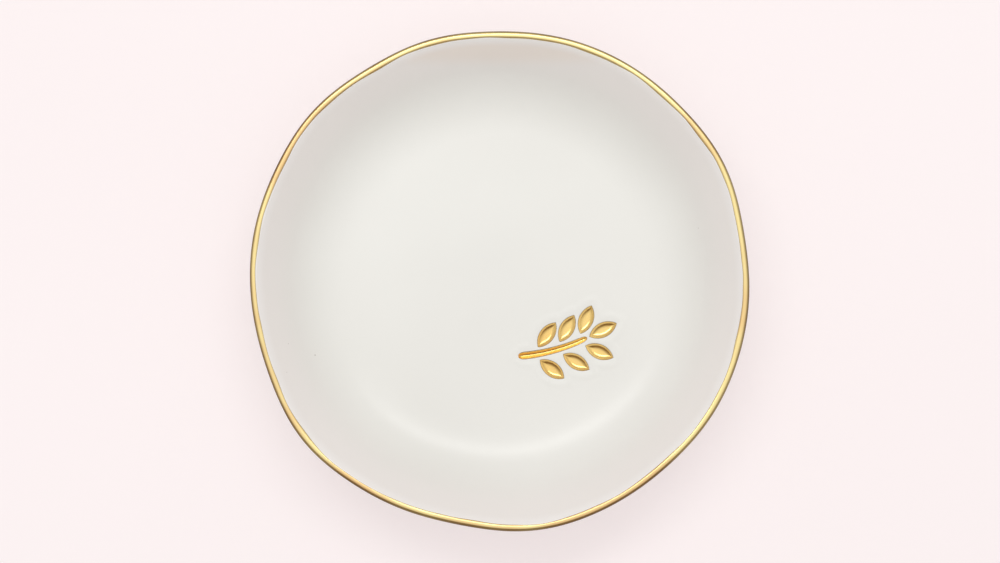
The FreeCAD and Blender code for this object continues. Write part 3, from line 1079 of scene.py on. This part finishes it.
@dataclass
class ClayBody:
    """The formed and fired clay; only its foot ring shows."""

    form: DishForm
    sprig: Sprig
    finish: FiredClay = field(default_factory=FiredClay)

    def build(self, floor: Floor) -> bpy.types.Object:
        """Builds and dresses the clay.

        Args:
            floor: points and triangles of the level floor.

        Returns:
            The piece.
        """
        form = self.form
        under = form.under_height + form.glaze_thick
        inner = form.foot_edge - form.foot_width
        section = form.section(form.skin_corners(form.glaze_thick) + [
            Corner(form.foot_edge, under),
            Corner(form.foot_edge, 0.0, form.foot_round),
            Corner(inner, 0.0, form.foot_round),
            Corner(inner, under),
            Corner(0.0, under),
        ], arc_step=7.0, run_step=4.0)
        material = self.finish.material()
        parts = [form.turn(section, "clay_wall", 0.0, material),
                 self.sprig.floor_sheet("clay_floor", floor, form.glaze_thick)]
        return laid_on(joined("stoneware_body", parts, material), "clay_body")


@dataclass
class GlazeCoat:
    """The glaze over the inside, the lip and the outside, and in the recess under the foot."""

    form: DishForm
    sprig: Sprig
    finish: SatinGlaze = field(default_factory=SatinGlaze)

    def wall_section(self) -> Section:
        """The glazed skin from the floor to the foot, and back behind it along the clay.

        Returns:
            The section, whose lower edge slides.
        """
        form = self.form
        skirt = form.foot_edge + form.glaze_thick
        face = form.section(form.skin_corners(0.0) + [
            Corner(skirt, form.under_height, form.foot_pool),
            Corner(skirt, form.glaze_line, form.glaze_roll),
            Corner(form.foot_edge, form.glaze_line),
        ])
        back = form.section(form.skin_corners(form.glaze_thick) + [
            Corner(form.foot_edge, form.under_height + form.glaze_thick),
            Corner(form.foot_edge, form.glaze_line),
        ], arc_step=9.0, run_step=4.0)
        points = np.vstack([face.points, back.points[-2::-1]])
        slide = np.zeros_like(points)
        low = (points[:, 0] < skirt + TOUCH) & (points[:, 1] < form.under_height)
        fall = form.under_height - form.glaze_line
        slide[low, 1] = smooth_step((form.under_height - points[low, 1]) / fall)
        return Section(points, np.concatenate([face.sway, back.sway[-2::-1]]), slide)

    def recess_section(self) -> Section:
        """The glaze inside the foot ring, from the axis out and back.

        Returns:
            The section, which nothing moves.
        """
        form = self.form
        inner = form.foot_edge - form.foot_width
        roof = form.under_height + form.glaze_thick
        return Section(rounded_run([
            Corner(0.0, form.under_height),
            Corner(inner - form.glaze_thick, form.under_height, form.foot_pool),
            Corner(inner - form.glaze_thick, form.glaze_line, form.glaze_roll),
            Corner(inner, form.glaze_line),
            Corner(inner, roof),
            Corner(0.0, roof),
        ], arc_step=10.0, run_step=4.0))

    def build(self, floor: Floor) -> bpy.types.Object:
        """Builds and dresses the glaze.

        Args:
            floor: points and triangles of the level floor.

        Returns:
            The piece.
        """
        form = self.form
        material = self.finish.material()
        parts = [form.turn(self.wall_section(), "glaze_wall", form.line_waver, material),
                 self.sprig.floor_sheet("glaze_face", floor, 0.0),
                 self.sprig.floor_sheet("glaze_back", floor, form.glaze_thick),
                 form.turn(self.recess_section(), "glaze_recess", 0.0, material)]
        return laid_on(joined("glaze_skin", parts, material), "glaze_coat")


@dataclass
class RimGilding:
    """The gold line over the lip, brushed on by hand."""

    form: DishForm
    width: float = 1.22  # from the outline in to the brush line
    lower_edge: float = 15.3
    thick: float = 0.1
    sunk: float = 0.03
    columns: int = 46
    end_run: float = 0.4  # over which the bead falls away at both edges
    thin_run: float = 0.12  # over which the film turns brown at both edges
    worn: tuple[tuple[float, float], ...] = (  # how thin the film is, by how steeply the lip falls
        (16.0, 0.0), (34.0, 0.55), (54.0, 1.0), (90.0, 1.0), (110.0, 0.5), (125.0, 0.2))
    waver: float = 0.26
    slide_runs: tuple[float, float] = (1.0, 1.4)  # over which the inner and the outer edge waver
    finish: GoldLustre = field(default_factory=lambda: GoldLustre(Stroke.ROUND_THE_LIP))

    def brushed_path(self) -> tuple[np.ndarray, np.ndarray]:
        """The glazed skin under the gold, from the brush line over the lip and down outside.

        Returns:
            Evenly spaced points, and how far along the path each lies.
        """
        skin = self.form.section(self.form.skin_corners(0.0)).points
        start = self.form.rim_radius - self.width
        first = int(np.argmax(skin[:, 0] > start))
        outside = np.arange(len(skin)) > first
        last = int(np.max(np.nonzero(outside & (skin[:, 1] > self.lower_edge))))
        before, after = skin[first - 1], skin[first]
        head = before + (after - before) * (start - before[0]) / (after[0] - before[0])
        path = np.vstack([head, skin[first:last + 1]])
        run = np.concatenate([[0.0], np.cumsum(np.linalg.norm(np.diff(path, axis=0), axis=1))])
        even = np.linspace(0.0, run[-1], self.columns)
        return np.column_stack([np.interp(even, run, path[:, axis]) for axis in (0, 1)]), even

    def section(self) -> Section:
        """A thin closed bead of gold on the glazed skin.

        Returns:
            The section, whose two edges slide.
        """
        form = self.form
        line, even = self.brushed_path()
        along = np.gradient(line, axis=0)
        along /= np.linalg.norm(along, axis=1)[:, None]
        outward = np.column_stack([-along[:, 1], along[:, 0]])
        left = np.minimum(even, even[-1] - even)
        bead = self.thick * np.sqrt(1 - (1 - np.clip(left / self.end_run, 0, 1)) ** 2)
        sway = np.clip((line[:, 1] - form.under_height) / (form.rim_height - form.under_height), 0, 1)
        near, far = (np.clip(1 - away / run, 0, 1)
                     for away, run in zip((even, even[-1] - even), self.slide_runs))
        slide = along * (near - far)[:, None]
        worn = np.interp(np.degrees(np.arctan2(-along[:, 1], along[:, 0])), *zip(*self.worn))
        thin = np.maximum(np.clip(1 - left / self.thin_run, 0, 1), worn)
        sway, slide, thin, across = (
            np.concatenate([given, given[::-1]]) for given in (sway, slide, thin, even))
        points = np.vstack([line + outward * bead[:, None], (line - outward * self.sunk)[::-1]])
        return Section(points, sway, slide, closed=True, marks={"thin": thin, "across": across})

    def build(self) -> bpy.types.Object:
        """Builds and dresses the gold line.

        Returns:
            The piece.
        """
        material = self.finish.material()
        band = self.form.turn(self.section(), "gold_band", self.waver, material)
        return laid_on(joined("lip_gold_line", [band], material), "rim_gilding")


@dataclass
class SprigGilding:
    """Gold in the pressed sprig: a leaf repeated along the stem, and the stem's own lining."""

    sprig: Sprig
    lift: float = 0.06
    sunk: float = 0.03
    leaf_rows: int = 44
    leaf_columns: int = 18
    stem_rows: int = 260
    stem_columns: int = 21
    leaf_thin_run: float = 0.1  # over which the film turns brown towards a leaf's edges
    stem_thin_run: float = 0.07  # and towards the stem's
    sharp: float = 60.0
    finish: GoldLustre = field(default_factory=lambda: GoldLustre(
        Stroke.DABBED, bright_hex="#FFDB8C", deep_hex="#FBCC78", roughness=(0.17, 0.25)))

    def leaf(self) -> bpy.types.Object:
        """One leaf's lining, along the X axis from the stem's centre line.

        Returns:
            A closed shell between two grids of points, in the scene.
        """
        sprig = self.sprig
        runs = (1 - np.cos(np.linspace(0, math.pi, self.leaf_rows + 1))) / 2 * sprig.leaf_length
        chords = sprig.leaf_arc ** 2 - (runs - sprig.leaf_length / 2) ** 2
        halves = np.maximum(np.sqrt(np.maximum(chords, 0)) - sprig.leaf_sunk, 0)
        shares = np.sin(np.linspace(-0.5, 0.5, self.leaf_columns + 1) * math.pi)
        run = np.repeat(runs, len(shares))
        across = (halves[:, None] * shares[None, :]).ravel()
        inside = sprig.leaf_inside(run, across)
        tops = np.column_stack([run + sprig.leaf_start, across, self.lift - sprig.pressed_leaf(inside)])
        bottoms = tops - (0, 0, self.lift + self.sunk)

        grid = np.arange(len(tops)).reshape(len(runs), len(shares))
        cells = np.stack([grid[:-1, :-1], grid[:-1, 1:], grid[1:, 1:], grid[1:, :-1]], axis=-1).reshape(-1, 4)
        border = np.concatenate([grid[0], grid[1:, -1], grid[-1, -2::-1], grid[-2:0:-1, 0]])
        ahead, count = np.roll(border, -1), len(tops)
        faces = np.vstack([cells, cells[:, ::-1] + count,
                           np.column_stack([border, ahead, ahead + count, border + count])])
        thin = np.clip(1 - inside / self.leaf_thin_run, 0, 1)
        return in_scene("leaf_lining", new_mesh(
            "leaf_lining", np.vstack([tops, bottoms]), [], faces.tolist(), {"thin": np.tile(thin, 2)}))

    def stem_section(self) -> bpy.types.Object:
        """The stem's lining across, as a closed wire that is swept along the bow.

        Returns:
            The wire, in the scene.
        """
        sprig = self.sprig
        across = np.linspace(-1, 1, self.stem_columns) * sprig.stem_width / 2
        inside = sprig.stem_width / 2 - np.abs(across)
        depth = sprig.pressed_stem(inside)
        points = np.vstack([np.column_stack([across, self.lift - depth]),
                            np.column_stack([across, -self.sunk - depth])[::-1]])
        thin = np.clip(1 - inside / self.stem_thin_run, 0, 1)
        marks = {"thin": np.concatenate([thin, thin[::-1]])}
        return Section(points, closed=True, marks=marks).wire("stem_section", 0.0)

    def tree(self, sizes: dict) -> bpy.types.NodeTree:
        """The tree that repeats a leaf along the stem and sweeps the stem's lining.

        Args:
            sizes: the tree's inputs.

        Returns:
            The tree.
        """
        tree, add, given = new_tree("gilded_sprig", sizes)
        stem, knots = (
            add("GeometryNodeCurveArc", {
                "Resolution": given[f"{part} Places"], "Radius": given["Stem Bow"],
                "Start Angle": given[f"{part} Start"], "Sweep Angle": given[f"{part} Sweep"]}, mode="RADIUS")
            for part in ("Stem", "Leaf"))

        # The stem's width: rounded at both ends and thinner at the tip.
        share = add("GeometryNodeSplineParameter").outputs["Factor"]
        centred = add("ShaderNodeMath", (share, 2.0, -1.0), operation="MULTIPLY_ADD")
        end = add("ShaderNodeMath", [centred], operation="ABSOLUTE")
        steep = add("ShaderNodeMath", (end, given["Stem End Power"]), operation="POWER")
        rest = add("ShaderNodeMath", (1.0, steep), operation="SUBTRACT")
        rounded = add("ShaderNodeMath", [rest], operation="SQRT")
        loss = add("ShaderNodeMath", (share, given["Stem Taper"]), operation="MULTIPLY")
        left = add("ShaderNodeMath", (1.0, loss), operation="SUBTRACT")
        width = add("ShaderNodeMath", (rounded, left), operation="MULTIPLY")
        wire = add("GeometryNodeObjectInfo", {"Object": given["Stem Section"]})
        line = add("GeometryNodeMeshToCurve", [wire.outputs["Geometry"]])
        grown = [add("GeometryNodeCurveToMesh", {0: stem, 1: line, "Scale": width, "Fill Caps": True})]

        # Pairs of leaves along the stem, and one ahead at its tip.
        axes = add("ShaderNodeSeparateXYZ", [add("GeometryNodeInputPosition")])
        about = add("ShaderNodeMath", (axes.outputs["Y"], axes.outputs["X"]), operation="ARCTAN2")
        heading = add("ShaderNodeMath", (about, math.pi / 2), operation="ADD")
        for side in (1.0, -1.0):
            lean = add("ShaderNodeMath", (given["Leaf Lean"], side, heading), operation="MULTIPLY_ADD")
            turned = add("ShaderNodeCombineXYZ", {"Z": lean})
            grown.append(add("GeometryNodeInstanceOnPoints", {
                "Points": knots, "Instance": given["Geometry"], "Rotation": turned}))
        last = add("GeometryNodeCurveEndpointSelection", {"Start Size": 0, "End Size": 1})
        ahead = add("ShaderNodeCombineXYZ", {"Z": heading})
        tip = add("GeometryNodeInstanceOnPoints", {
            "Points": stem, "Selection": last, "Instance": given["Geometry"], "Rotation": ahead})
        shift = add("ShaderNodeCombineXYZ", {"X": given["Tip Shift"]})
        grown.append(add("GeometryNodeTranslateInstances", {
            "Instances": tip, "Translation": shift, "Local Space": True}))
        whole = add("GeometryNodeJoinGeometry")
        for part in grown:
            tree.links.new(part.outputs[0], whole.inputs[0])
        placed = add("GeometryNodeTransform", {"Geometry": whole, "Translation": given["Place"]})
        end_tree(tree, placed, given["Finish"])
        return tree

    def build(self) -> bpy.types.Object:
        """Builds and dresses the gold in the sprig.

        Returns:
            The piece.
        """
        sprig = self.sprig
        material = self.finish.material()
        section = self.stem_section()
        right, back = sprig.bow_centre
        sizes = {
            "Stem Section": section, "Stem Bow": sprig.stem_bow * MM, "Stem Places": self.stem_rows,
            "Stem Start": sprig.stem_angle(-sprig.stem_length / 2),
            "Stem Sweep": sprig.stem_length / sprig.stem_bow,
            "Stem Taper": sprig.stem_taper, "Stem End Power": sprig.end_power,
            "Leaf Places": sprig.leaf_pairs, "Leaf Start": sprig.stem_angle(sprig.leaf_places()[0][0]),
            "Leaf Sweep": (sprig.leaf_pairs - 1) * sprig.leaf_step / sprig.stem_bow,
            "Leaf Lean": math.radians(sprig.leaf_lean),
            "Tip Shift": (sprig.leaf_gap - sprig.leaf_start) * MM,
            "Place": (right * MM, back * MM, sprig.form.floor_height * MM), "Finish": material}
        lining = made_by_nodes(self.leaf(), self.tree(sizes), sizes, "sprig_lining")
        bpy.data.objects.remove(section)
        piece = joined("sprig_gold_lining", [lining], material, self.sharp)
        return laid_on(piece, "sprig_gilding")


@dataclass
class Studio:
    """A pale table, a wide window-like lamp, a soft sky and the camera straight above."""

    lens: float = 120.0
    sensor: float = 36.0
    view_width: float = 199.6  # what the frame spans at the lip
    view_shift: tuple[float, float] = (0.0, -0.22)
    view_start: float = 10.0  # nothing nearer to the camera shows
    table_radius: float = 5200.0  # beyond it the board sweeps up
    table_sides: int = 96
    table_gap: float = 0.1
    sweep_radius: float = 800.0
    sweep_rings: int = 12
    zenith_hex: str = "#FFFFFF"
    horizon_hex: str = "#BFBDBB"
    mirrored_hex: str = "#C2B8AA"  # the horizon that mirrors show
    sky_level: float = 0.86
    glow_from: float = 38.0  # degrees from straight up at which the overhead glow starts
    glow_level: float = 0.52
    mirrored_glow: float = 0.2  # share of that glow that mirrors show
    room_hex: str = "#86705A"  # the dark side of the room, which only mirrors show
    room_span: tuple[float, float] = (-0.05, -0.7)  # how far to that side a ray turns, as a sine
    key_reach: float = 620.0  # from the dish to the lamp
    key_polar: float = 26.5
    key_azimuth: float = 97.0
    key_size: tuple[float, float] = (600.0, 120.0)
    key_power: float = 1.02
    table: PaleTable = field(default_factory=PaleTable)

    def lay_table(self) -> None:
        """Lays the pale table under the dish, sweeping up far away so that no horizon shows."""
        sides = self.table_sides
        rings = [(self.table_radius + self.sweep_radius * math.sin(turn),
                  self.sweep_radius * (1 - math.cos(turn)) - self.table_gap)
                 for turn in np.linspace(0, math.pi / 2, self.sweep_rings)]
        points = [(out * math.cos(turn), out * math.sin(turn), up)
                  for out, up in rings for turn in np.arange(sides) * 2 * math.pi / sides]
        faces: list[tuple[int, ...]] = [tuple(range(sides))]
        for start in range(0, sides * (self.sweep_rings - 1), sides):
            faces += [(start + side, start + sides + side, start + sides + (side + 1) % sides,
                       start + (side + 1) % sides) for side in range(sides)]
        mesh = new_mesh("table", points, [], faces)
        mesh.shade_smooth()
        mesh.materials.append(self.table.material())
        in_scene("pale_table", mesh)

    def open_sky(self) -> None:
        """Sets the sky, which darkens from a glow overhead to the horizon.

        The gold also mirrors the darker side of the room, in front of the dish.
        """
        world = bpy.data.worlds.new("studio_sky")
        bpy.context.scene.world = world
        world.use_nodes = True
        world.node_tree.nodes.clear()
        add = partial(add_node, world.node_tree)
        axes = add("ShaderNodeSeparateXYZ", [add("ShaderNodeTexCoord").outputs["Generated"]]).outputs
        mirrored = add("ShaderNodeLightPath").outputs["Is Glossy Ray"]
        rise = add("ShaderNodeMapRange", [axes["Z"]])
        start, end = self.room_span
        front = add("ShaderNodeMapRange", (axes["Y"], end, start, 1.0, 0.0), interpolation_type="SMOOTHSTEP")
        dark = add("ShaderNodeMath", (front, mirrored), operation="MULTIPLY")
        colour = linear(self.horizon_hex)
        for share, code in ((mirrored, self.mirrored_hex), (rise, self.zenith_hex), (dark, self.room_hex)):
            colour = add("ShaderNodeMix", {0: share, 6: colour, 7: linear(code)}, data_type="RGBA")
        glow = add("ShaderNodeMapRange", (
            mirrored, 0.0, 1.0, self.glow_level, self.glow_level * self.mirrored_glow))
        overhead = add("ShaderNodeMapRange", (axes["Z"], math.cos(math.radians(self.glow_from)), 1.0),
                       interpolation_type="SMOOTHSTEP")
        level = add("ShaderNodeMath", (overhead, glow, self.sky_level), operation="MULTIPLY_ADD")
        air = add("ShaderNodeBackground", {"Color": colour, "Strength": level})
        add("ShaderNodeOutputWorld", {"Surface": air})

    def hang_lamp(self) -> None:
        """Hangs the wide lamp at the back, facing the dish."""
        lamp = bpy.data.lights.new("window_lamp", "AREA")
        lamp.shape = "RECTANGLE"
        lamp.size, lamp.size_y = (side * MM for side in self.key_size)
        lamp.energy = self.key_power
        key = in_scene("window_lamp", lamp)
        polar, azimuth = math.radians(self.key_polar), math.radians(self.key_azimuth)
        way = Vector((math.sin(polar) * math.cos(azimuth), math.sin(polar) * math.sin(azimuth),
                      math.cos(polar)))
        key.location = way * self.key_reach * MM
        key.rotation_euler = way.to_track_quat("Z", "Y").to_euler()

    def aim(self, height: float) -> None:
        """Puts the camera straight above the dish.

        Args:
            height: the height at which the frame has its given width.
        """
        eye = bpy.data.cameras.new("above")
        eye.lens = self.lens
        eye.sensor_width = self.sensor
        eye.clip_start = self.view_start * MM
        camera = in_scene("above", eye)
        above = height + self.view_width * self.lens / self.sensor
        camera.location = Vector((*self.view_shift, above)) * MM
        bpy.context.scene.camera = camera


def main() -> None:
    """Builds the dish piece by piece around the frame, then the studio."""
    logging.basicConfig(level=logging.INFO, format="%(name)s %(message)s")
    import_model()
    bpy.context.scene.view_settings.view_transform = "Standard"

    form = DishForm(rim_height=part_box("glaze_coat")[1].z / MM)
    sprig = Sprig(form)
    floor = sprig.floor_mesh()
    report(ClayBody(form, sprig).build(floor))
    report(GlazeCoat(form, sprig).build(floor))
    report(RimGilding(form).build())
    report(SprigGilding(sprig).build())

    studio = Studio()
    studio.lay_table()
    studio.open_sky()
    studio.hang_lamp()
    studio.aim(form.rim_height - form.lip_outer_round)


if __name__ == "__main__":
    main()
